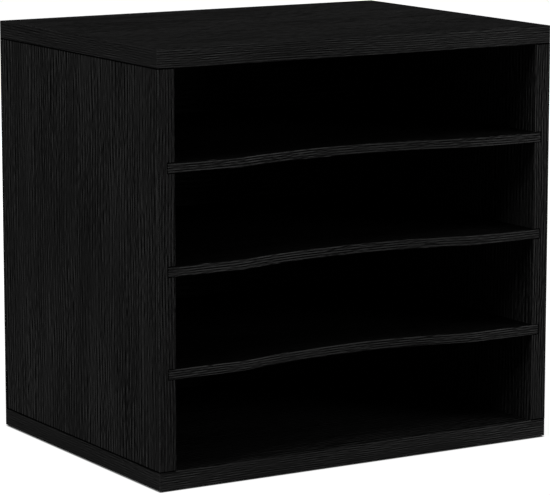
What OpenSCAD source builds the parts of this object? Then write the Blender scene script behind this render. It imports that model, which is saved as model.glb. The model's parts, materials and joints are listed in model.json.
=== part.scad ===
// Open desk organizer: a case of four woodgrain boards with a thin back panel, three
// shelves that slide in grooves, and the hidden fixings that hold the boards together.
// All sizes are in millimetres. X runs across the width, the front faces -Y and Z is up.
// The origin lies on the surface that the pads stand on, under the middle of the case.

/* [Case] */
// Width over both sides
case_w = 374; // [320:1:450]
// Depth from the front edge to the rear edge
case_d = 275; // [240:5:330]
// Height from the underside of the bottom board to the top face
case_h = 350; // [300:5:420]
// Thickness of the top, bottom and side boards
board_t = 15; // [14:0.5:18]
// Thickness of the edge bands
band_t = 1; // [0.9:0.1:2]
// Flat that eases the two outer corners of an edge band
band_ease = 0.5; // [0.2:0.1:0.8]
// Flat that eases the outer corners at both ends of a side
end_ease = 0.5; // [0.2:0.1:0.8]

/* [Shelves] */
// Thickness of a shelf
shelf_t = 8; // [6:0.5:10]
// Depth of the shelf grooves in the sides
groove_depth = 7; // [5:0.5:8]
// Clearance between a shelf and the walls of its groove
shelf_gap = 0.5; // [0.2:0.1:0.6]
// Width of the finger recess in a shelf's front edge
recess_w = 220; // [160:5:240]
// Depth of the finger recess at its middle
recess_d = 15.5; // [8:0.5:20]
// Radius that blends the recess into the straight front edge
recess_blend = 50; // [20:5:60]

/* [Back panel] */
// Thickness of the back panel
panel_t = 3; // [2.5:0.5:4]
// Distance from the rear edges to the rear face of the panel
panel_inset = 8; // [6:1:12]
// Depth of the groove that holds the panel on all four sides
panel_groove = 5; // [4:0.5:6]

/* [Fixings] */
// Distance from the front and rear edges to the cams and the connector screws
fixing_inset = 58; // [32:1:64]
// Distance from the front and rear edges to the dowels
dowel_inset = 98; // [84:1:115]
// Diameter of a dowel
dowel_d = 8; // [6:1:8]
// Length of a dowel
dowel_l = 30; // [25:1:35]
// Diameter of the bore for a cam lock
cam_d = 15; // [14:0.5:16]
// Depth of a cam lock in the side
cam_h = 12; // [11:0.5:12.5]
// Distance from the upper end of the side to the middle of a cam lock
cam_from_end = 24; // [20:1:34]
// Length of a connector screw
screw_l = 50; // [40:1:60]

/* [Pads] */
// Diameter of a non-slip pad
pad_d = 22; // [16:1:24]
// Thickness of a non-slip pad
pad_t = 1; // [1:0.5:4]
// Distance from the outer faces of the case to the middle of a pad
pad_inset = 26; // [25:1:40]

/* [Hidden] */
$fn = 48;

// Colours as they look on the object
laminate_black = [0.11, 0.11, 0.11];
band_black = [0.13, 0.13, 0.13];
panel_black = [0.08, 0.08, 0.08];
beech = [0.76, 0.60, 0.42];
plated_steel = [0.70, 0.70, 0.72];
cast_zinc = [0.60, 0.61, 0.63];
plastic_black = [0.06, 0.06, 0.06];
rubber_grey = [0.16, 0.16, 0.16];

// Levels and faces of the case
front_y = -case_d / 2;
rear_y = case_d / 2;
base_z = pad_t;
floor_z = base_z + board_t;
roof_z = base_z + case_h - board_t;
inner_w = case_w - 2 * board_t;
inner_h = roof_z - floor_z;
core_w = case_w - 2 * band_t;
core_d = case_d - 2 * band_t;
side_mid_x = (case_w - board_t) / 2;
both_ways = [-1, 1];
cut = 1; // how far a cutter runs past the face that it opens

// Shelves, counted 1 to 3 from the bottom
shelf_count = 3;
opening_h = (inner_h - shelf_count * shelf_t) / (shelf_count + 1);
panel_front_y = rear_y - panel_inset - panel_t;
shelf_w = inner_w + 2 * (groove_depth - shelf_gap);
shelf_d = panel_front_y - 2 * shelf_gap - front_y;

function shelf_z(level) = floor_z + level * opening_h + (level - 1) * shelf_t;

// The finger recess is an arc that is recess_d deep at its middle and would meet the
// front line recess_w apart. A smaller arc blends each end into the front line.
recess_r = (pow(recess_w / 2, 2) + pow(recess_d, 2)) / (2 * recess_d);
recess_centre_y = recess_d - recess_r;
arc_span = recess_r + recess_blend;
blend_x = sqrt(pow(arc_span, 2) - pow(recess_blend - recess_centre_y, 2));
arc_fn = 360;

// Room round the pins and screws
pin_slack = 0.2; // a bore is this much wider than its pin
end_slack = 0.5; // room left at the far end of a blind hole

// A dowel stands this far in the top or bottom board, the rest is in the side
dowel_in_board = 10;
dowel_bevel = 1;

// Ridges that stand for a thread
thread_pitch = 2.5;
thread_depth = 0.6;

// Cam bolt, from its thread in the top board down to its head in the cam
bolt_thread_d = 5;
bolt_thread_l = 10;
bolt_collar_d = 7;
bolt_collar_h = 1;
bolt_shank_d = 6;
bolt_neck_d = 4;
bolt_neck_l = 6.5;
bolt_head_d = 6.4;
bolt_head_h = 3;
bolt_bore_d = 8;

// Cam lock and its cover
cam_seat_d = 6.8;
cam_slot_d = 4.6;
cross_l = 8;
cross_w = 2;
cross_depth = 2.5;
cover_d = 17;
cover_t = 0.8;
stem_d = 1.8;
stem_l = 2;

// Connector screw
screw_head_d = 10;
screw_head_h = 3;
screw_shank_d = 7;
screw_thread_d = 6;
socket_flats = 4;
socket_depth = 3;

pad_bevel = 0.3;

// A strip of edge band along X. It stands on z = 0, its outer face is on y = 0 and its
// glued face on y = band_t. Both long outer corners are eased, and those at its two ends
// by as much as end_flat says.
module strip(length, height, end_flat) {
    intersection() {
        translate([-length / 2, 0, 0])
            rotate([90, 0, 90])
                linear_extrude(length)
                    polygon([
                        [band_ease, 0], [band_t, 0], [band_t, height],
                        [band_ease, height], [0, height - band_ease], [0, band_ease]
                    ]);
        linear_extrude(height)
            polygon([
                [end_flat - length / 2, 0], [length / 2 - end_flat, 0],
                [length / 2, end_flat], [length / 2, band_t],
                [-length / 2, band_t], [-length / 2, end_flat]
            ]);
    }
}

// Bands round a flat board whose underside is at level. The front and rear ones run
// the full width, and those at the ends fit between them.
module front_strip(level) {
    color(band_black)
        translate([0, front_y, level])
            strip(case_w, board_t, band_ease);
}

module rear_strip(level) {
    rotate([0, 0, 180])
        front_strip(level);
}

module left_strip(level) {
    color(band_black)
        translate([-case_w / 2, 0, level])
            rotate([0, 0, -90])
                strip(core_d, board_t, 0);
}

module right_strip(level) {
    rotate([0, 0, 180])
        left_strip(level);
}

// The core of a flat board, which the bands surround
module flat_core(level) {
    translate([-core_w / 2, -core_d / 2, level])
        cube([core_w, core_d, board_t]);
}

// The back panel's block, shorter than its grooves by room at each of its four edges
module panel_block(room) {
    reach = panel_groove - room;
    translate([-inner_w / 2 - reach, panel_front_y, floor_z - reach])
        cube([inner_w + 2 * reach, panel_t, inner_h + 2 * reach]);
}

// Repeats its children in the middle of both sides' thickness, at a distance from the
// front and rear edges
module at_fixings(inset, level) {
    for (side = both_ways, row = both_ways)
        translate([side * side_mid_x, row * (case_d / 2 - inset), level])
            children();
}

// Repeats its children on the sides' inner faces at the four cams. Their +Z points
// to the middle of the case and their +X points up.
module at_cams() {
    for (side = [0, 1], row = both_ways)
        mirror([side, 0, 0])
            translate([inner_w / 2, row * (case_d / 2 - fixing_inset), roof_z - cam_from_end])
                rotate([0, -90, 0])
                    children();
}

module dowel() {
    r = dowel_d / 2;
    rotate_extrude()
        polygon([
            [0, 0], [r - dowel_bevel, 0], [r, dowel_bevel],
            [r, dowel_l - dowel_bevel], [r - dowel_bevel, dowel_l], [0, dowel_l]
        ]);
}

module dowel_bore(depth) {
    cylinder(d = dowel_d + pin_slack, h = depth);
}

// Points up the side of a shank with one ridge for each turn of its thread
function ridges(core_r, length) = [
    for (turn = [0 : floor(length / thread_pitch) - 1])
        each [
            [core_r, turn * thread_pitch],
            [core_r + thread_depth, (turn + 0.5) * thread_pitch]
        ]
];

module threaded_shank(diameter, length) {
    core_r = diameter / 2 - thread_depth;
    rotate_extrude()
        polygon(concat([[0, 0]], ridges(core_r, length), [[core_r, length], [0, length]]));
}

module connector_screw() {
    difference() {
        union() {
            cylinder(d1 = screw_head_d, d2 = screw_shank_d, h = screw_head_h);
            translate([0, 0, screw_head_h])
                cylinder(d = screw_shank_d, h = board_t - screw_head_h);
            translate([0, 0, board_t])
                threaded_shank(screw_thread_d, screw_l - board_t);
        }
        translate([0, 0, -cut])
            cylinder(d = socket_flats / cos(30), h = socket_depth + cut, $fn = 6);
    }
}

// The space for a connector screw in the bottom board and the side above it
module connector_bore() {
    mouth_d = screw_head_d + pin_slack;
    translate([0, 0, -cut])
        cylinder(d = mouth_d, h = cut);
    cylinder(d1 = mouth_d, d2 = screw_shank_d + pin_slack, h = screw_head_h);
    cylinder(d = screw_shank_d + pin_slack, h = board_t + cut);
    cylinder(d = screw_thread_d + pin_slack, h = screw_l);
}

// Cam bolt with z = 0 on the underside of the top board
module cam_bolt() {
    head_z = -cam_from_end - bolt_head_h / 2;
    neck_top_z = head_z + bolt_head_h + bolt_neck_l;
    threaded_shank(bolt_thread_d, bolt_thread_l);
    translate([0, 0, -bolt_collar_h])
        cylinder(d = bolt_collar_d, h = bolt_collar_h);
    translate([0, 0, neck_top_z])
        cylinder(d = bolt_shank_d, h = -bolt_collar_h - neck_top_z);
    translate([0, 0, head_z])
        cylinder(d = bolt_neck_d, h = neck_top_z - head_z);
    translate([0, 0, head_z])
        cylinder(d = bolt_head_d, h = bolt_head_h);
}

// Cam lock with its slotted face on z = 0. The bolt comes in along X at half the
// side's thickness: a round seat holds its head and a narrow slot passes its neck.
module cam_lock() {
    difference() {
        translate([0, 0, -cam_h])
            cylinder(d = cam_d - pin_slack, h = cam_h);
        translate([-cam_seat_d / 2, 0, -board_t / 2])
            rotate([0, 90, 0])
                cylinder(d = cam_seat_d, h = (cam_seat_d + bolt_head_h) / 2);
        translate([0, 0, -board_t / 2])
            rotate([0, 90, 0])
                cylinder(d = cam_slot_d, h = cam_d);
        translate([0, 0, -board_t / 2])
            rotate([-90, 0, 0])
                cylinder(d = cam_seat_d, h = cam_d);
        for (turn = [0, 90])
            rotate([0, 0, turn])
                translate([-cross_l / 2, -cross_w / 2, -cross_depth])
                    cube([cross_l, cross_w, cross_depth + cut]);
    }
}

// Cover with its flange on the side's face and its stem in the cam's cross
module cam_cover() {
    cylinder(d1 = cover_d, d2 = cover_d - 2 * cover_t, h = cover_t);
    translate([0, 0, -stem_l])
        cylinder(d = stem_d, h = stem_l);
}

module shelf_grooves() {
    for (level = [1 : shelf_count])
        translate([0, front_y - cut, shelf_z(level) - shelf_gap])
            cube([
                inner_w / 2 + groove_depth,
                panel_front_y - front_y + cut,
                shelf_t + 2 * shelf_gap
            ]);
}

module side_bores() {
    at_fixings(dowel_inset, roof_z + dowel_in_board - dowel_l)
        dowel_bore(dowel_l);
    at_fixings(dowel_inset, floor_z - cut)
        dowel_bore(cut + dowel_l - dowel_in_board + end_slack);
    at_fixings(fixing_inset, base_z)
        connector_bore();
    at_fixings(fixing_inset, roof_z - cam_from_end)
        cylinder(d = bolt_bore_d, h = cam_from_end + cut);
    at_cams()
        translate([0, 0, -cam_h])
            cylinder(d = cam_d, h = cam_h + cut);
}

// The right side's core and front band. The left ones are their mirror images.
module side_core() {
    inner_x = inner_w / 2;
    outer_x = case_w / 2;
    difference() {
        translate([0, core_d / 2, 0])
            rotate([90, 0, 0])
                linear_extrude(core_d)
                    polygon([
                        [inner_x, floor_z], [outer_x - end_ease, floor_z],
                        [outer_x, floor_z + end_ease], [outer_x, roof_z - end_ease],
                        [outer_x - end_ease, roof_z], [inner_x, roof_z]
                    ]);
        shelf_grooves();
        panel_block(0);
        side_bores();
    }
}

module side_strip() {
    translate([inner_w / 2, front_y, floor_z + inner_h / 2])
        rotate([0, 90, 0])
            strip(inner_h, board_t, end_ease);
}

module grooved_side_strip() {
    difference() {
        side_strip();
        shelf_grooves();
    }
}

// Outline of a shelf with its straight front line on y = 0. A larger inset moves the
// front edge back by as much, and spread widens the other three edges.
module shelf_outline(inset, spread) {
    arc_r = recess_r + inset;
    reach = arc_r / arc_span;
    meet = [
        blend_x * reach,
        recess_centre_y + (recess_blend - recess_centre_y) * reach
    ];
    difference() {
        translate([-shelf_w / 2 - spread, inset])
            square([shelf_w + 2 * spread, shelf_d - inset + spread]);
        translate([0, recess_centre_y])
            circle(r = arc_r, $fn = arc_fn);
        for (side = [0, 1])
            mirror([side, 0])
                difference() {
                    polygon([
                        [meet[0], inset - cut], [blend_x, inset - cut],
                        [blend_x, recess_blend], meet
                    ]);
                    translate([blend_x, recess_blend])
                        circle(r = recess_blend - inset, $fn = arc_fn);
                }
    }
}

module shelf_core(level) {
    color(laminate_black)
        translate([0, front_y, shelf_z(level)])
            linear_extrude(shelf_t)
                shelf_outline(band_t, 0);
}

module shelf_strip(level) {
    color(band_black)
        translate([0, front_y, shelf_z(level)])
            linear_extrude(shelf_t)
                difference() {
                    shelf_outline(0, 0);
                    shelf_outline(band_t, cut);
                }
}

module pad(side, row) {
    color(rubber_grey)
        translate([side * (case_w / 2 - pad_inset), row * (case_d / 2 - pad_inset), 0]) {
            cylinder(d1 = pad_d - 2 * pad_bevel, d2 = pad_d, h = pad_bevel);
            translate([0, 0, pad_bevel])
                cylinder(d = pad_d, h = pad_t - pad_bevel);
        }
}

module top_board() {
    color(laminate_black)
        difference() {
            flat_core(roof_z);
            panel_block(0);
            at_fixings(dowel_inset, roof_z - cut)
                dowel_bore(cut + dowel_in_board + end_slack);
            at_fixings(fixing_inset, roof_z - cut)
                cylinder(d = bolt_thread_d + pin_slack, h = cut + bolt_thread_l);
        }
}

module bottom_board() {
    color(laminate_black)
        difference() {
            flat_core(base_z);
            panel_block(0);
            at_fixings(dowel_inset, floor_z - dowel_in_board)
                dowel_bore(dowel_in_board + cut);
            at_fixings(fixing_inset, base_z)
                connector_bore();
        }
}

module right_side_board() {
    color(laminate_black)
        side_core();
}

module left_side_board() {
    mirror([1, 0, 0])
        right_side_board();
}

module right_side_front_band() {
    color(band_black)
        grooved_side_strip();
}

module left_side_front_band() {
    mirror([1, 0, 0])
        right_side_front_band();
}

module left_side_rear_band() {
    color(band_black)
        rotate([0, 0, 180])
            side_strip();
}

module right_side_rear_band() {
    mirror([1, 0, 0])
        left_side_rear_band();
}

module back_panel() {
    color(panel_black)
        panel_block(end_slack);
}

module top_dowels() {
    color(beech)
        at_fixings(dowel_inset, roof_z + dowel_in_board - dowel_l)
            dowel();
}

module bottom_dowels() {
    color(beech)
        at_fixings(dowel_inset, floor_z - dowel_in_board)
            dowel();
}

module cam_bolts() {
    color(plated_steel)
        at_fixings(fixing_inset, roof_z)
            cam_bolt();
}

module cam_locks() {
    color(cast_zinc)
        at_cams()
            cam_lock();
}

module cam_covers() {
    color(plastic_black)
        at_cams()
            cam_cover();
}

module bottom_screws() {
    color(plated_steel)
        at_fixings(fixing_inset, base_z)
            connector_screw();
}

top_board();
bottom_board();
left_side_board();
right_side_board();
back_panel();
front_strip(roof_z);  // top_front_band
rear_strip(roof_z);  // top_rear_band
left_strip(roof_z);  // top_left_band
right_strip(roof_z);  // top_right_band
front_strip(base_z);  // bottom_front_band
rear_strip(base_z);  // bottom_rear_band
left_strip(base_z);  // bottom_left_band
right_strip(base_z);  // bottom_right_band
left_side_front_band();
left_side_rear_band();
right_side_front_band();
right_side_rear_band();
shelf_core(1);  // lower_shelf
shelf_core(2);  // middle_shelf
shelf_core(3);  // upper_shelf
shelf_strip(1);  // lower_shelf_band
shelf_strip(2);  // middle_shelf_band
shelf_strip(3);  // upper_shelf_band
top_dowels();
bottom_dowels();
cam_bolts();
cam_locks();
cam_covers();
bottom_screws();
pad(-1, -1);  // front_left_pad
pad(1, -1);  // front_right_pad
pad(-1, 1);  // rear_left_pad
pad(1, 1);  // rear_right_pad
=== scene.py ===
# %% [markdown]
# # A desk organizer in black woodgrain board
# The real case is made of boards with a printed and embossed laminate, and each cut edge
# is closed with a thin band. Three loose shelves lie in grooves. The packed model brings
# every solid at its real size, so this script only looks after what the eye sees: rounded
# band edges, the finish of each material, the light and the camera. The box of the packed
# model is kept, because the finished pieces have to stay inside it.

import json
import math

import bmesh
import bpy
from mathutils import Matrix, Vector

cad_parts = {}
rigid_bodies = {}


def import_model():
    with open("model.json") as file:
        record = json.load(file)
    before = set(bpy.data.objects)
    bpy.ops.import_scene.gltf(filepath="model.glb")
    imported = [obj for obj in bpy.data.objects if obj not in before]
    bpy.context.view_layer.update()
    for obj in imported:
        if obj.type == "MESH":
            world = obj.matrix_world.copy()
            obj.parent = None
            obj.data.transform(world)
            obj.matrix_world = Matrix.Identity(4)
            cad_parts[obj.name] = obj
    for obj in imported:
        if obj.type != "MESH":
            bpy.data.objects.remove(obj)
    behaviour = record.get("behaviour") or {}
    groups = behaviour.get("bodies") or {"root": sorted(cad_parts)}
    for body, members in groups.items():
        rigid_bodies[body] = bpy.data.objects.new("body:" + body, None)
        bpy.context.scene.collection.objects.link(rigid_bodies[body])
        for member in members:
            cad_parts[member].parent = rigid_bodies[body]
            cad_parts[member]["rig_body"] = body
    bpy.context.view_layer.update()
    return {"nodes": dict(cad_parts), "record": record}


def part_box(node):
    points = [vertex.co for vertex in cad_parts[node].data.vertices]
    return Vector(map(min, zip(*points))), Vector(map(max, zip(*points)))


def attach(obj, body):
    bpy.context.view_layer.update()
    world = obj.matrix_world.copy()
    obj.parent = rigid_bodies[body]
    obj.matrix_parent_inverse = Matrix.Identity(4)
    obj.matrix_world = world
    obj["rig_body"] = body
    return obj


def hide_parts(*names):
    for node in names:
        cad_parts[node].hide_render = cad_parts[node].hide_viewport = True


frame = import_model()
nodes = frame["nodes"]
slot_of = {row["node"]: row["material_slot"] for row in frame["record"]["subparts"]}
scene = bpy.context.scene
MM = 0.001
X, Y, Z = range(3)

# %% [markdown]
# # Tools for mesh work
# Every new piece starts as a bmesh: a mesh that is held in memory and shaped by operators.
# All pieces share a few short functions. One makes a block, two pick edges by their place
# or direction, and one rounds edges with the bevel operator. The last two turn the bmesh
# into an object that stands in for a node of the packed model.

# %% Blocks, edges and the exchange of a node
NEAR = 0.01 * MM
PARALLEL = 0.999  # the share of an edge's length that has to lie along an axis


def block(low, high):
    """A bmesh block between two corners."""
    bm = bmesh.new()
    bmesh.ops.create_cube(bm, size=1)
    bmesh.ops.scale(bm, vec=high - low, verts=bm.verts)
    bmesh.ops.translate(bm, vec=(low + high) / 2, verts=bm.verts)
    return bm


def edges_at(bm, axis, place):
    """The edges that lie in the plane across an axis at a place."""
    return [e for e in bm.edges if all(abs(v.co[axis] - place) < NEAR for v in e.verts)]


def runs_along(edge, axis):
    """True if an edge is parallel to an axis."""
    span = edge.verts[1].co - edge.verts[0].co
    return abs(span[axis]) > PARALLEL * span.length


def ease(bm, edges, width, segments):
    """Round edges with an arc that starts at this width from each of them."""
    bmesh.ops.bevel(
        bm, geom=edges, offset=width, offset_type="OFFSET", affect="EDGES",
        segments=segments, profile=0.5, material=-1, clamp_overlap=True,
    )


def to_object(bm, name):
    """Turn a bmesh into an object of the scene. It stands at the origin, its place is in its mesh."""
    mesh = bpy.data.meshes.new(name)
    bm.to_mesh(mesh)
    bm.free()
    made = bpy.data.objects.new(name, mesh)
    scene.collection.objects.link(made)
    return made


def stand_for(bm, node):
    """Turn a bmesh into the shown piece that takes a node's place, body and finish."""
    piece = to_object(bm, f"eased_{node}")
    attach(piece, nodes[node]["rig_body"])
    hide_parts(node)
    return piece


print("edges count as level within", round(NEAR / MM, 3), "mm")

# %% [markdown]
# # Bands on the edges of the boards
# A band is a 1 mm strip. The workshop glues it on and then runs a small round cutter along
# its outer corners. In the packed model those corners are flats, which catch the light like
# a facet. Each strip is made again here from a block of the same size, and the bevel
# operator rounds the corners with an arc. A bevel on a block gives a true arc, where a
# second bevel on the flats would only soften them.

# %% Straight bands
CORNER_R = 0.5 * MM
CORNER_STEPS = 4
GLUE_LINE = 0.12 * MM
pieces = {}


def sides_of(node):
    """A band's thin axis, and the places of its outer face and of its glued face."""
    low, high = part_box(node)
    thin = min(range(3), key=lambda axis: high[axis] - low[axis])
    outer, glued = sorted((low[thin], high[thin]), key=abs, reverse=True)
    return thin, outer, glued


def longest_axis(node):
    """The axis that a board's or band's grain runs along."""
    low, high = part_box(node)
    return max(range(3), key=lambda axis: high[axis] - low[axis])


def straight_band(node, free_ends):
    """A band with rounded long corners, and round ends where no other band meets it."""
    thin, outer, glued = sides_of(node)
    length = longest_axis(node)
    bm = block(*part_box(node))
    glue_edges = [e for e in edges_at(bm, thin, glued) if runs_along(e, length)]
    ease(bm, glue_edges, GLUE_LINE, segments=1)
    outer_edges = edges_at(bm, thin, outer)
    if not free_ends:
        outer_edges = [e for e in outer_edges if runs_along(e, length)]
    ease(bm, outer_edges, CORNER_R, CORNER_STEPS)
    return stand_for(bm, node)


for board in ("top", "bottom"):
    for side in ("front", "rear", "left", "right"):
        band = f"{board}_{side}_band"
        pieces[band] = straight_band(band, free_ends=side in ("front", "rear"))
for side in ("left", "right"):
    band = f"{side}_side_rear_band"
    pieces[band] = straight_band(band, free_ends=True)
print(len(pieces), "straight bands")

# %% [markdown]
# # Front bands of the sides
# The shelf grooves run out through the front edge, so the front band of each side is a
# comb with three notches. A boolean could cut them, but its outline is so plain that a
# walk round it is clearer: up the outer face, and down the inner one with a step into
# every notch. Extruding that outline by the band's thickness makes the strip.

# %% Notched bands
SHELVES = ("upper_shelf", "middle_shelf", "lower_shelf")
GROOVE_GAP = 0.5 * MM  # the clearance round a shelf in the packed model
NOTCH_EASE = 0.25 * MM


def comb_outline(node):
    """Points (x, z) of a side's front edge, with a notch for each shelf."""
    low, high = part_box(node)
    outer, inner = sorted((low.x, high.x), key=abs, reverse=True)
    outward = math.copysign(1, outer)
    points = [(outer, low.z), (outer, high.z), (inner, high.z)]
    for shelf in SHELVES:
        shelf_low, shelf_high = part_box(shelf)
        notch_x = outward * (shelf_high.x + GROOVE_GAP)
        notch_top = shelf_high.z + GROOVE_GAP
        notch_base = shelf_low.z - GROOVE_GAP
        points += [(inner, notch_top), (notch_x, notch_top)]
        points += [(notch_x, notch_base), (inner, notch_base)]
    points.append((inner, low.z))
    return points


def on_rim(edge, low, high):
    """True if an edge lies on one of the four sides of a box as seen from the front."""
    places = ((X, low.x), (X, high.x), (Z, low.z), (Z, high.z))
    return any(all(abs(v.co[axis] - place) < NEAR for v in edge.verts) for axis, place in places)


def notched_band(node):
    """A side's front band: its outline drawn at the glued face and extruded to the front."""
    low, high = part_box(node)
    bm = bmesh.new()
    outline = [bm.verts.new((x, high.y, z)) for x, z in comb_outline(node)]
    face = bm.faces.new(outline)
    front = bmesh.ops.extrude_face_region(bm, geom=[face])["geom"]
    front_verts = [part for part in front if isinstance(part, bmesh.types.BMVert)]
    bmesh.ops.translate(bm, vec=(0, low.y - high.y, 0), verts=front_verts)
    bmesh.ops.recalc_face_normals(bm, faces=bm.faces)
    notch_edges = [e for e in edges_at(bm, Y, low.y) if not on_rim(e, low, high)]
    ease(bm, notch_edges, NOTCH_EASE, segments=1)
    rim_edges = [e for e in edges_at(bm, Y, low.y) if on_rim(e, low, high)]
    ease(bm, rim_edges, CORNER_R, CORNER_STEPS)
    return stand_for(bm, node)


for side in ("left", "right"):
    band = f"{side}_side_front_band"
    pieces[band] = notched_band(band)
    print(band, len(pieces[band].data.polygons), "faces")

# %% [markdown]
# # Shelves
# A shelf is a thin board with a shallow finger recess in its front edge, and its band
# follows that curve. The shape is right in the packed model and only its edges are knife
# sharp, so it isn't drawn again. The packed mesh is loose triangles: a copy of it is merged
# and its flat faces are joined up. Then the edges at which two faces meet at a clear angle
# are rounded.

# %% Copies with rounded edges
SHARP = math.radians(30)
FLAT = math.radians(0.5)
FORWARD = 0.7  # how far a face's normal leans to the front, of 1
SHELF_BAND_R = 0.5 * MM
SHELF_EDGE = 0.2 * MM


def merged_copy(node):
    """A bmesh of a node with its triangles joined up into whole faces."""
    bm = bmesh.new()
    bm.from_mesh(nodes[node].data)
    bmesh.ops.remove_doubles(bm, verts=bm.verts, dist=NEAR / 10)
    bmesh.ops.dissolve_limit(bm, angle_limit=FLAT, verts=bm.verts, edges=bm.edges)
    return bm


def sharp_edges(bm):
    """The edges at which two faces meet at a clear angle."""
    return [e for e in bm.edges if e.is_manifold and e.calc_face_angle() > SHARP]


def looks_forward(edge):
    """True if one of an edge's two faces is on the front."""
    return any(face.normal.y < -FORWARD for face in edge.link_faces)


for shelf in SHELVES:
    bm = merged_copy(shelf)
    ease(bm, sharp_edges(bm), SHELF_EDGE, segments=2)
    pieces[shelf] = stand_for(bm, shelf)

    band = f"{shelf}_band"
    bm = merged_copy(band)
    front_edges = [e for e in sharp_edges(bm) if looks_forward(e)]
    ease(bm, front_edges, SHELF_BAND_R, segments=3)
    pieces[band] = stand_for(bm, band)
    print(shelf, len(pieces[shelf].data.polygons), "faces, its band", len(pieces[band].data.polygons))

# %% [markdown]
# # Covers of the cams
# Four small plastic covers hide the cams in the top compartment. A cover is round, with a
# soft shoulder and a shallow dish, so half of its section is drawn once and the spin
# operator turns it round the cover's axis. Both ends of the section lie on that axis, where
# the spin makes many points in one place, so the doubles are merged after it.

# %% Cam covers
COVER_STEPS = 64
COVER_H = 0.8 * MM
RIM_H = 0.25 * MM
STEM_R = 0.9 * MM
STEM_L = 2 * MM
DISH = 0.15 * MM
DISH_RIM, DISH_FLOOR = 0.8, 0.72  # where the dish starts and where it is flat, of the radius
SHOULDER_STEPS = 5


def cover_section(radius):
    """Half a cover's section: points (r, z) from the stem's foot to the middle of the top."""
    shoulder = COVER_H - RIM_H
    turns = [math.radians(90 / SHOULDER_STEPS * step) for step in range(SHOULDER_STEPS + 1)]
    arc = [
        (radius - shoulder * (1 - math.cos(turn)), RIM_H + shoulder * math.sin(turn))
        for turn in turns
    ]
    stem = [(0, -STEM_L), (STEM_R, -STEM_L), (STEM_R, 0), (radius, 0)]
    floor_h = COVER_H - DISH
    dish = [(DISH_RIM * radius, COVER_H), (DISH_FLOOR * radius, floor_h), (0, floor_h)]
    return stem + arc + dish


def add_cover(bm, radius, place):
    """Draw half a section on a cover's axis, top inwards, and spin it once round the axis."""
    inward = -math.copysign(1, place.x)
    points = [place + Vector((inward * z, 0, r)) for r, z in cover_section(radius)]
    section = [bm.verts.new(point) for point in points]
    profile = [bm.edges.new(pair) for pair in zip(section, section[1:])]
    bmesh.ops.spin(
        bm, geom=section + profile, cent=place, axis=(1, 0, 0), dvec=(0, 0, 0),
        angle=math.tau, steps=COVER_STEPS, use_merge=True, use_duplicate=False,
    )


low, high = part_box("cam_covers")
cover_r = (high.z - low.z) / 2
cover_y = high.y - cover_r
face_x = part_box("right_side_board")[0].x
bm = bmesh.new()
for x in (-face_x, face_x):
    for y in (-cover_y, cover_y):
        add_cover(bm, cover_r, Vector((x, y, (low.z + high.z) / 2)))
bmesh.ops.remove_doubles(bm, verts=bm.verts, dist=NEAR)
bmesh.ops.recalc_face_normals(bm, faces=bm.faces)
pieces["cam_covers"] = stand_for(bm, "cam_covers")
print("covers of", round(2 * cover_r / MM, 1), "mm,", len(pieces["cam_covers"].data.polygons), "faces")

# %% [markdown]
# # Pads
# Four foam rubber pads keep the case from sliding. A pad is only a disc with rounded rims.
# The cone operator with two equal radii makes the disc, and a bevel rounds its rims.

# %% Rubber pads
PAD_STEPS = 96
PAD_RIM = 0.3 * MM


def rubber_pad(node):
    """A disc with both rims rounded."""
    low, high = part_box(node)
    radius = (high.x - low.x) / 2
    bm = bmesh.new()
    bmesh.ops.create_cone(
        bm, cap_ends=True, segments=PAD_STEPS, radius1=radius, radius2=radius,
        depth=high.z - low.z, matrix=Matrix.Translation((low + high) / 2),
    )
    ease(bm, edges_at(bm, Z, low.z) + edges_at(bm, Z, high.z), PAD_RIM, segments=4)
    return stand_for(bm, node)


for end in ("front", "rear"):
    for side in ("left", "right"):
        pad = f"{end}_{side}_pad"
        pieces[pad] = rubber_pad(pad)

# %% [markdown]
# # Sums on shader sockets
# A material's pattern is arithmetic on numbers that change over the surface. Wiring each
# sum by hand hides what it means, so one small class wraps an output socket and lets
# Python's own operators add the Math nodes. Each operator also has its reflected form, for
# a plain number on its left.

# %% Signals


class Signal:
    """An output socket that can stand in a Python sum."""

    def __init__(self, maker, socket):
        self.maker = maker
        self.socket = socket

    def __add__(self, other):
        return self.maker.math("ADD", self, other)

    def __radd__(self, other):
        return self.maker.math("ADD", other, self)

    def __sub__(self, other):
        return self.maker.math("SUBTRACT", self, other)

    def __rsub__(self, other):
        return self.maker.math("SUBTRACT", other, self)

    def __mul__(self, other):
        return self.maker.math("MULTIPLY", self, other)

    def __rmul__(self, other):
        return self.maker.math("MULTIPLY", other, self)


print(Signal.__doc__)

# %% [markdown]
# # All other nodes
# One method adds any node. Its settings come first, because some of them decide which
# sockets the node has, and the values or signals of its sockets follow. The few nodes that
# every pattern here needs have a short method each, so a finish reads like a recipe.

# %% Maker of nodes


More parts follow.
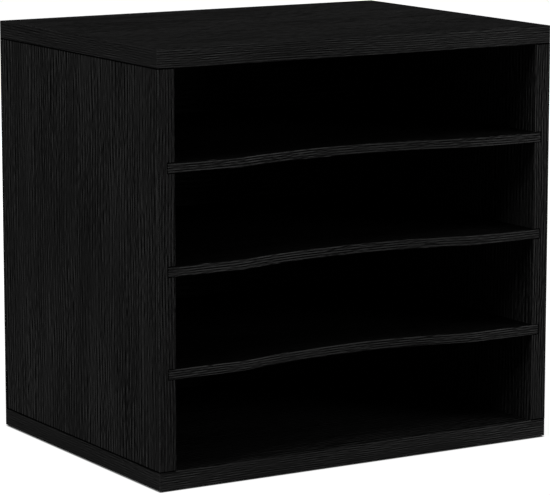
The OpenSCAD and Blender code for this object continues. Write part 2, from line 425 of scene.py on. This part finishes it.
class Maker:
    """Adds nodes to one node tree."""

    def __init__(self, tree):
        self.tree = tree

    def feed(self, socket, value):
        """Link a signal to a socket, or set the socket to a plain value."""
        if isinstance(value, Signal):
            self.tree.links.new(value.socket, socket)
        else:
            socket.default_value = value

    def node(self, kind, settings, values, output=0):
        """Add a node: its settings first, then the values or signals of its sockets."""
        made = self.tree.nodes.new(kind)
        for name, value in settings.items():
            if name == "stops":
                self.set_stops(made.color_ramp, value)
            else:
                setattr(made, name, value)
        for key, value in values.items():
            self.feed(made.inputs[key], value)
        return Signal(self, made.outputs[output])

    def set_stops(self, ramp, stops):
        """Give a ramp grey stops: pairs of a place and a level."""
        while len(ramp.elements) < len(stops):
            ramp.elements.new(1)
        for element, (place, level) in zip(ramp.elements, stops):
            element.position = place
            element.color = (level, level, level, 1)

    def math(self, operation, first, second):
        return self.node("ShaderNodeMath", {"operation": operation}, {0: first, 1: second})

    def absolute(self, value):
        return self.math("ABSOLUTE", value, 0.0)

    def noise(self, place, detail=2, roughness=0.5):
        """Noise from 0 to 1, one cell wide for each unit of the coordinates."""
        values = {"Vector": place, "Scale": 1, "Detail": detail, "Roughness": roughness}
        return self.node("ShaderNodeTexNoise", {}, values, "Fac")

    def part(self, vector, axis):
        """One component of a vector."""
        return self.node("ShaderNodeSeparateXYZ", {}, {"Vector": vector}, axis)

    def smooth(self, value, nought, one):
        """A smooth step from 0 at one value to 1 at another."""
        low, high = sorted((nought, one))
        ends = {"To Min": 0.0, "To Max": 1.0} if nought < one else {"To Min": 1.0, "To Max": 0.0}
        values = {"Value": value, "From Min": low, "From Max": high, **ends}
        return self.node("ShaderNodeMapRange", {"interpolation_type": "SMOOTHSTEP"}, values)

    def object_place(self):
        """The place of a point in the model's own frame, in metres."""
        return self.node("ShaderNodeTexCoord", {}, {}, "Object")

    def cells(self, place, size):
        """Coordinates with one unit for each size, which is a number or one for each axis."""
        sizes = [size] * 3 if isinstance(size, float) else size
        values = {"Vector": place, "Scale": [1 / s for s in sizes]}
        return self.node("ShaderNodeMapping", {"vector_type": "POINT"}, values)


print(Maker.__doc__)

# %% [markdown]
# # A finish
# A finish is a maker that works on a new material, with the sockets of its shader at hand.
# They are given by name, and a height becomes a relief through a Bump node, because the
# real relief is far too fine for the mesh.

# %% Finish of one material


class Finish(Maker):
    """A material that starts as one Principled shader."""

    def __init__(self, name):
        self.material = bpy.data.materials.new(name)
        self.material.use_nodes = True
        super().__init__(self.material.node_tree)
        self.shader = self.tree.nodes["Principled BSDF"]

    def give(self, **sockets):
        """Feed the shader's sockets, named with _ for each space."""
        for name, value in sockets.items():
            self.feed(self.shader.inputs[name.replace("_", " ")], value)

    def bump(self, height, depth):
        """A relief that stands this deep where the height goes from 0 to 1."""
        values = {"Strength": 1.0, "Distance": depth, "Height": height}
        self.give(Normal=self.node("ShaderNodeBump", {}, values))


print(Finish.__doc__)

# %% [markdown]
# # Black woodgrain
# The laminate is printed and embossed with straight, open grain: narrow light streaks at
# an almost even pitch of a few millimetres, nearly parallel over the whole length of a
# board, with black pores between them. A plain noise has every width of streak at once and
# looks like cloth, so the streaks come from a sine wave across the grain. One noise bends
# and crowds its waves. Two more set how strong a streak is: one fades small groups of
# streaks in and out, and one breaks single streaks. Slower ones make calm and strong
# patches and let the tone drift, and fine flecks roughen the rest. The pattern lies flat on
# a board, so it is told which axis the grain follows and which one goes through the board.

# %% Streaks of grain
THROUGH = 45 * MM
BEND_W, BEND_L, BEND = 20 * MM, 125 * MM, 2.0
PATCH_W, PATCH_L, PATCH = 40 * MM, 120 * MM, 2.2
TONE_W, TONE_L, TONE = 25 * MM, 150 * MM, 0.5
# The widths of the next three are counted in pitches of the streaks.
FADE_W, FADE_L, FADE = 1.8, 18 * MM, 4.2
BREAK_W, BREAK_L, BREAK = 1.0, 7 * MM, 2.6
FLECK_W, FLECK_L, FLECK = 0.2, 6 * MM, 1.2
STREAK_MEAN = 0.6
PATCH_MEAN = 0.85
MIDDLE = 0.5


def flat_cells(along, thin, width, length):
    """Sizes of noise cells on a board: its grain's length, its width, and slow through it."""
    sizes = [width] * 3
    sizes[along] = length
    sizes[thin] = THROUGH
    return sizes


def grain(finish, place, along, thin, pitch, contrast):
    """How high the embossed surface stands, about 0 to 1."""

    def noise(width, length, detail):
        """Noise about 0 on cells of this width across the grain and this length along it."""
        cells = finish.cells(place, flat_cells(along, thin, width, length))
        return finish.noise(cells, detail) - MIDDLE

    across = finish.part(place, X + Y + Z - along - thin)
    waves = across * (1 / pitch) + noise(BEND_W, BEND_L, 1) * BEND
    streaks = finish.math("SINE", waves * math.tau, 0.0)
    fade = noise(FADE_W * pitch, FADE_L, 1) * FADE
    breaks = noise(BREAK_W * pitch, BREAK_L, 0) * BREAK
    patch = noise(PATCH_W, PATCH_L, 2) * PATCH + PATCH_MEAN
    flecks = noise(FLECK_W * pitch, FLECK_L, 1) * FLECK
    tone = noise(TONE_W, TONE_L, 2) * TONE
    return (streaks * (fade + breaks + STREAK_MEAN) + flecks) * patch * contrast + tone + MIDDLE


print("the streaks drift by up to", BEND / 2, "pitches over", round(BEND_L / MM), "mm")

# %% [markdown]
# Painted shade at the joints between the boards
# Where a side meets the board above or under it, the real case shows a thin black line: the
# shade in the hairline gap there. The solids touch and leave no gap, so that shade is painted:
# the print and its coat are darkened in a narrow stripe on both sides of each joint. The stripe's
# place comes from the box of a side board.

# %% Painted shade at the joints
SIDE_LOW, SIDE_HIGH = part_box("right_side_board")
JOINT_HALF = 0.4 * MM
JOINT_EDGE = 0.9 * MM
JOINT_SHADE = 0.9
SIDE_SLACK = 0.5 * MM


def painted_joint_shade(finish, place):
    """Painted shade: 1 along the joint between a side and the board on or under it, and 0 elsewhere.
    """
    x = finish.absolute(finish.part(place, X))
    z = finish.part(place, Z)
    over_side = finish.math("GREATER_THAN", x, SIDE_LOW.x + SIDE_SLACK)
    to_roof = finish.absolute(z - SIDE_HIGH.z)
    to_floor = finish.absolute(z - SIDE_LOW.z)
    gap = finish.smooth(finish.math("MINIMUM", to_roof, to_floor), JOINT_EDGE, JOINT_HALF)
    return gap * over_side


print("joints at", [round(z / MM, 1) for z in (SIDE_LOW.z, SIDE_HIGH.z)], "mm")

# %% [markdown]
# # The laminate and its bands
# All woodgrain surfaces share one recipe: the height of the grain picks a grey from a ramp,
# and the pores are rougher than the ridges between them. The gloss comes from a faint coat
# and not from the shader's own specular level, because the real print has almost no sheen.
# The recipe takes other numbers for a board than for a band. The front bands are painted paler
# towards both ends of the case, a painted light for the brighter light on their ends.

# %% Recipe for woodgrain
# Painted light: how much paler the front bands are painted towards both ends, and where.
END_LIGHT = 0.36
END_LIGHT_FROM = 60 * MM
END_LIGHT_TO = 145 * MM
GRAIN_STOPS = [(0.0, 0.0015), (0.3, 0.0044), (0.5, 0.0075), (0.7, 0.0112), (1.0, 0.0185)]
PORE_ROUGH = 0.78
RIDGE_SHINE = 0.25
COAT_ROUGH = 0.38


def painted_end_light(finish, place):
    """Painted light: the front bands are painted a little paler towards both ends of the case."""
    x = finish.absolute(finish.part(place, X))
    return 1.0 + finish.smooth(x, END_LIGHT_FROM, END_LIGHT_TO) * END_LIGHT


def print_grey(finish, height):
    """The grey of the print at a height of the grain. Its stops are grey, so it works in sums."""
    return finish.node("ShaderNodeValToRGB", {"stops": GRAIN_STOPS}, {"Fac": height})


def woodgrain(name, along, thin, pitch, contrast, coat, emboss, light):
    """Black grained surface: the print's grey, its roughness and its relief follow the grain."""
    finish = Finish(name)
    place = finish.object_place()
    height = grain(finish, place, along, thin, pitch, contrast)
    grey = print_grey(finish, height)
    # Painted shade: the print and its coat are darkened along the joints between the boards.
    unshaded_face = 1.0 - painted_joint_shade(finish, place) * JOINT_SHADE
    # Painted light: the front bands grow paler towards both ends of the case.
    if along == X and thin == Y:
        light = painted_end_light(finish, place) * light
    finish.give(
        Base_Color=grey * unshaded_face * light,
        Roughness=PORE_ROUGH - height * RIDGE_SHINE,
        Specular_IOR_Level=0.0,
        Coat_Weight=height * unshaded_face * coat,
        Coat_Roughness=COAT_ROUGH,
    )
    finish.bump(height, emboss)
    return finish.material


print("greys of the print:", [level for place, level in GRAIN_STOPS])

# %% [markdown]
# # The prints of the boards and bands
# The grain has to run along each board and band, and a pattern in the model's own frame
# can't turn by itself. So each direction is a material of its own, made by the one recipe.
# The grain of the narrow bands is finer. The shelves are painted darker, a painted shade for the
# shade in the compartments, and the front bands paler than the boards, a painted light.

# %% Seven woodgrain finishes
BOARD_PRINT = {"pitch": 4.5 * MM, "coat": 0.01, "emboss": 0.036 * MM}
BAND_PRINT = {"coat": 0.03, "emboss": 0.02 * MM}
SIDE_BAND_PRINT = {"coat": 0.02, "emboss": 0.015 * MM}
# Painted light: the side boards are painted a little paler than the top and bottom boards.
laminates = {
    X: woodgrain("laminate_along_x", X, Z, contrast=0.68, light=1.09, **BOARD_PRINT),
    Z: woodgrain("laminate_along_z", Z, X, contrast=0.46, light=1.18, **BOARD_PRINT),
}
# Painted light: the bands along x and z, which hold the front edges, are painted far paler than the
# boards, for the light on the front.
bands = {
    X: woodgrain("band_along_x", X, Y, 1.8 * MM, contrast=0.46, light=1.58, **BAND_PRINT),
    Y: woodgrain("band_along_y", Y, X, 2.0 * MM, contrast=0.24, light=1.16, **SIDE_BAND_PRINT),
    Z: woodgrain("band_along_z", Z, Y, 2.5 * MM, contrast=0.60, light=1.50, **BAND_PRINT),
}
# Painted shade: the shelves' print is painted darker, for the shade in the compartments.
shelf_laminate_painted_shade = woodgrain("shelf_laminate_painted_shade", X, Z, contrast=0.60, light=0.50, **BOARD_PRINT)
# Painted light: the shelves' front band is painted pale like the front bands of the case.
shelf_band = woodgrain("shelf_band", X, Y, 1.9 * MM, contrast=1.00, light=1.52, **BAND_PRINT)
print("case:", len(laminates), "laminates and", len(bands), "bands; shelves: one of each")

# %% [markdown]
# # Back panel
# The back is a thin hardboard with the same print, wider and flatter and almost without
# relief. It stands in deep shadow, so it shares the grain of the boards and only has its
# own numbers: a new pattern would never be seen.

# %% Panel print
PANEL_PITCH = 5 * MM
PANEL_CONTRAST = 0.3
PANEL_RAMP = 0.9  # how much of the ramp of greys it uses
PANEL_LIGHT = 1.2
PANEL_ROUGH, PANEL_SHINE = 0.85, 0.2
PANEL_COAT, PANEL_COAT_ROUGH = 0.01, 0.5
PANEL_EMBOSS = 0.01 * MM


def panel_finish():
    """The grain of the boards, printed wider and flatter."""
    finish = Finish("panel_print")
    height = grain(finish, finish.object_place(), X, Y, PANEL_PITCH, PANEL_CONTRAST)
    finish.give(
        Base_Color=print_grey(finish, height * PANEL_RAMP) * PANEL_LIGHT,
        Roughness=PANEL_ROUGH - height * PANEL_SHINE,
        Specular_IOR_Level=0.0,
        Coat_Weight=height * PANEL_COAT,
        Coat_Roughness=PANEL_COAT_ROUGH,
    )
    finish.bump(height, PANEL_EMBOSS)
    return finish.material


by_slot = {"back_board": panel_finish()}
print("the panel's streaks stand", round(PANEL_PITCH / MM), "mm apart")

# %% [markdown]
# # Raw wood
# The dowels are turned from beech and left raw. They hide in their bores, so two sizes of
# noise are enough: short flecks along the wood's fibres, and slow clouds under them.

# %% Beech
BEECH_FLECK = [0.5 * MM, 0.5 * MM, 3 * MM]
BEECH_CLOUD = [4 * MM, 4 * MM, 20 * MM]
BEECH_FLECK_SHARE = 0.7
BEECH_ROUGH, BEECH_SHINE = 0.75, 0.15
BEECH_RELIEF = 0.05 * MM
BEECH = ((0.35, 0.20, 0.10), (0.66, 0.45, 0.26))


def two_tone(finish, factor, first, second):
    """Mix two colours by a signal."""
    values = {0: factor, 6: (*first, 1), 7: (*second, 1)}
    return finish.node("ShaderNodeMix", {"data_type": "RGBA"}, values, 2)


def blend(fine, slow, share):
    """Two patterns in one, with this share of the fine one."""
    return fine * share + slow * (1 - share)


def beech_finish(dark, light):
    """Raw wood with its fibres along Z, the way the dowels lie."""
    finish = Finish("raw_beech")
    place = finish.object_place()
    flecks = finish.noise(finish.cells(place, BEECH_FLECK), detail=3, roughness=0.6)
    clouds = finish.noise(finish.cells(place, BEECH_CLOUD), detail=2)
    finish.give(
        Base_Color=two_tone(finish, blend(flecks, clouds, BEECH_FLECK_SHARE), dark, light),
        Roughness=BEECH_ROUGH - flecks * BEECH_SHINE,
    )
    finish.bump(flecks, BEECH_RELIEF)
    return finish.material


by_slot["dowel_wood"] = beech_finish(*BEECH)
print("flecks of", [round(size / MM, 1) for size in BEECH_FLECK], "mm")

# %% [markdown]
# # Zinc
# The screws and bolts are plated, smooth, with a faint bluish cloud in the plating. The cams
# are cast, greyer, with a pebbly skin. Both are bare metal, so one function makes both: a
# fine noise gives the skin and its relief, and a slow one moves between two greys.

# %% Plated and cast zinc
ZINC_CLOUD = 6  # cells of the skin in a cell of the clouds
ZINC_UNEVEN = 0.2
BLUE_ZINC = ((0.52, 0.54, 0.58), (0.70, 0.71, 0.72))
GREY_ZINC = ((0.36, 0.37, 0.39), (0.50, 0.51, 0.53))


def zinc_finish(name, dark, light, rough, cell, depth):
    """Bare metal with a skin of small bumps on cells of this size."""
    finish = Finish(name)
    place = finish.object_place()
    skin = finish.noise(finish.cells(place, cell), detail=3, roughness=0.6)
    clouds = finish.noise(finish.cells(place, ZINC_CLOUD * cell), detail=2)
    finish.give(
        Base_Color=two_tone(finish, clouds, dark, light),
        Metallic=1.0,
        Roughness=rough + (skin - MIDDLE) * ZINC_UNEVEN,
    )
    finish.bump(skin, depth)
    return finish.material


by_slot["plated_steel"] = zinc_finish(
    "zinc_plating", *BLUE_ZINC, rough=0.32, cell=0.25 * MM, depth=0.01 * MM
)
by_slot["cast_zinc"] = zinc_finish(
    "cast_zinc", *GREY_ZINC, rough=0.5, cell=0.5 * MM, depth=0.03 * MM
)
print([by_slot[slot].name for slot in ("plated_steel", "cast_zinc")])

# %% [markdown]
# # Plastic and foam
# The covers are moulded with a fine spark texture, and the pads are foam rubber with open
# cells. Both are nearly black and change a little from cell to cell. They share a function
# too: the foam only has larger and deeper cells, and a duller surface.

# %% Covers and pads
MOULD_CLOUD = 12  # cells of the texture in a cell of the clouds
SPARK_SHARE = 0.6
MOULD_UNEVEN = 0.15
COVER_BLACK = ((0.0015, 0.0015, 0.0015), (0.0035, 0.0035, 0.0035))
FOAM_BLACK = ((0.010, 0.010, 0.010), (0.032, 0.032, 0.032))


def moulded_finish(name, dark, light, rough, cell, depth, shine):
    """Plastic or foam with a texture on cells of this size."""
    finish = Finish(name)
    place = finish.object_place()
    sparks = finish.noise(finish.cells(place, cell), detail=2)
    clouds = finish.noise(finish.cells(place, MOULD_CLOUD * cell), detail=1)
    finish.give(
        Base_Color=two_tone(finish, blend(sparks, clouds, SPARK_SHARE), dark, light),
        Roughness=rough + (sparks - MIDDLE) * MOULD_UNEVEN,
        Specular_IOR_Level=shine,
    )
    finish.bump(sparks, depth)
    return finish.material


by_slot["cover_plastic"] = moulded_finish(
    "moulded_cover", *COVER_BLACK, rough=0.7, cell=0.2 * MM, depth=0.02 * MM, shine=0.02
)
by_slot["pad_rubber"] = moulded_finish(
    "foam_rubber", *FOAM_BLACK, rough=0.9, cell=0.35 * MM, depth=0.12 * MM, shine=0.2
)
print("finishes for", sorted(by_slot))

# %% [markdown]
# # Which piece gets which finish
# A board or band is cut with its grain along its longest side, so its box says which way
# the streaks run. Every other piece takes the one finish of its slot.

# %% Hand out the finishes


def finish_of(node):
    """The material that a node is shown in."""
    slot = slot_of[node]
    if slot == "woodgrain_laminate":
        return shelf_laminate_painted_shade if "shelf" in node else laminates[longest_axis(node)]
    if slot == "edge_band":
        return shelf_band if "shelf" in node else bands[longest_axis(node)]
    return by_slot[slot]


for node, cad_object in nodes.items():
    shown = pieces.get(node, cad_object)
    shown.data.materials.clear()
    shown.data.materials.append(finish_of(node))
print(len(nodes), "pieces finished,", len(pieces), "of them remade")

# %% [markdown]
# # Studio
# The photograph was taken on pure white with broad, soft light, so that the left side, the
# top and the front edges are almost equally dark grey while the compartments fall to black.
# The world looks white to the camera and in reflections, and is a weaker grey as a source
# of light, so that the deep compartments stay dark. The floor is a pale backdrop, lifted
# to white for the camera and in reflections only, so it throws no extra light on the case,
# and the lift stops at the case's outline, which keeps the contact shadow under it.

# %% World and floor
WHITE = (1.0, 1.0, 1.0, 1.0)
AMBIENT = 0.12
FLOOR_HALF = 4.0
FLOOR_GREY = 0.34
FIBRE_CELL = 2 * MM
FIBRE_LIGHT = 1.02
FLOOR_ROUGH = 0.9
FLOOR_LIFT = 0.86
LIFT_EDGE = 1 * MM
CASE_CORNER = Vector((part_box("top_right_band")[1].x, *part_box("top_rear_band")[1].yz))


def seen_directly(maker):
    """1 for rays of the camera, of reflections and of glass, and 0 for those of light."""
    rays = [
        maker.node("ShaderNodeLightPath", {}, {}, f"Is {kind} Ray")
        for kind in ("Camera", "Glossy", "Transmission")
    ]
    return maker.math("MAXIMUM", maker.math("MAXIMUM", rays[0], rays[1]), rays[2])


def outside_case(maker):
    """1 on the open floor, and 0 under the case."""
    place = maker.object_place()
    beyond_x = maker.absolute(maker.part(place, X)) - CASE_CORNER.x
    beyond_y = maker.absolute(maker.part(place, Y)) - CASE_CORNER.y
    return maker.smooth(maker.math("MAXIMUM", beyond_x, beyond_y), -LIFT_EDGE, LIFT_EDGE)


world = bpy.data.worlds.new("studio")
world.use_nodes = True
scene.world = world
sky = Maker(world.node_tree)
background = world.node_tree.nodes["Background"].inputs
sky.feed(background["Strength"], AMBIENT + seen_directly(sky) * (1 - AMBIENT))
sky.feed(background["Color"], WHITE)

bm = bmesh.new()
bmesh.ops.create_grid(bm, x_segments=1, y_segments=1, size=FLOOR_HALF)
floor = to_object(bm, "floor")
backdrop = Finish("floor_backdrop")
fibres = backdrop.noise(backdrop.cells(backdrop.object_place(), FIBRE_CELL), detail=2)
backdrop.give(
    Base_Color=two_tone(backdrop, fibres, (FLOOR_GREY,) * 3, (FLOOR_GREY * FIBRE_LIGHT,) * 3),
    Roughness=FLOOR_ROUGH,
    Specular_IOR_Level=0.0,
    Emission_Color=seen_directly(backdrop) * outside_case(backdrop),
    Emission_Strength=FLOOR_LIFT,
)
floor.data.materials.append(backdrop.material)
print("floor", 2 * FLOOR_HALF, "m wide")

# %% [markdown]
# # Lamps
# A sun with a wide angle stands for a large soft box far to the left: it lights the left
# side and the floor evenly. Three square soft boxes stand nearer. One high over the right
# front corner lights the top. One in front on the right lights the front bands, and it is
# so low that it hardly reaches the tops of the shelves. One behind shows the back in views
# from there. A lamp is turned like the camera, by the angles from which it looks in.

# %% Four lamps
CASE_MIDDLE = Vector((0, 0, CASE_CORNER.z / 2))


def direction(azimuth, elevation):
    """The unit vector to a place seen at these angles in degrees, with 0, 0 in front."""
    a, e = math.radians(azimuth), math.radians(elevation)
    return Vector((math.sin(a) * math.cos(e), -math.cos(a) * math.cos(e), math.sin(e)))


def set_up(name, data, azimuth, elevation):
    """Put a lamp or the camera in the scene, turned to look in from these angles."""
    made = bpy.data.objects.new(name, data)
    made.rotation_mode = "QUATERNION"
    made.rotation_quaternion = direction(azimuth, elevation).to_track_quat("Z", "Y")
    scene.collection.objects.link(made)
    return made


def sun(name, azimuth, elevation, strength, spread):
    """A soft box so far away that only its direction counts; the spread is its apparent width."""
    light = bpy.data.lights.new(name, "SUN")
    light.energy = strength
    light.angle = math.radians(spread)
    return set_up(name, light, azimuth, elevation)


def soft_box(name, azimuth, elevation, distance, side, irradiance):
    """A square soft box near the case; the irradiance is what it gives at the case's middle."""
    light = bpy.data.lights.new(name, "AREA")
    light.size = side
    light.energy = irradiance * math.pi * distance ** 2
    lamp = set_up(name, light, azimuth, elevation)
    lamp.location = CASE_MIDDLE + direction(azimuth, elevation) * distance
    return lamp


lamps = [
    sun("left_box", -90, 30, strength=2.3, spread=30),
    soft_box("top_box", 50, 70, distance=1.0, side=0.6, irradiance=0.6),
    soft_box("right_box", 45, 8, distance=3.2, side=1.4, irradiance=1.58),
    soft_box("rear_box", 180, 20, distance=2.2, side=1.0, irradiance=1.4),
]
print([lamp.name for lamp in lamps])

# %% [markdown]
# # Camera
# Thirteen corners of the case were measured in the photograph, and a camera was fitted to
# them at the case's real size. It is a long lens from about two and a half metres, 31
# degrees to the left of the front and almost 10 degrees up, with no roll and no shift.

# %% Camera
CAMERA_PLACE = Vector((-1.3218, -2.1903, 0.5991))
CAMERA_AZIMUTH = -31.149
CAMERA_ELEVATION = 9.744
LENS = 199.97
SENSOR = 36

camera_data = bpy.data.cameras.new("camera")
camera_data.lens = LENS
camera_data.sensor_width = SENSOR
camera = set_up("camera", camera_data, CAMERA_AZIMUTH, CAMERA_ELEVATION)
camera.location = CAMERA_PLACE
scene.camera = camera
scene.view_settings.view_transform = "Standard"
print("camera at", [round(c, 3) for c in CAMERA_PLACE])
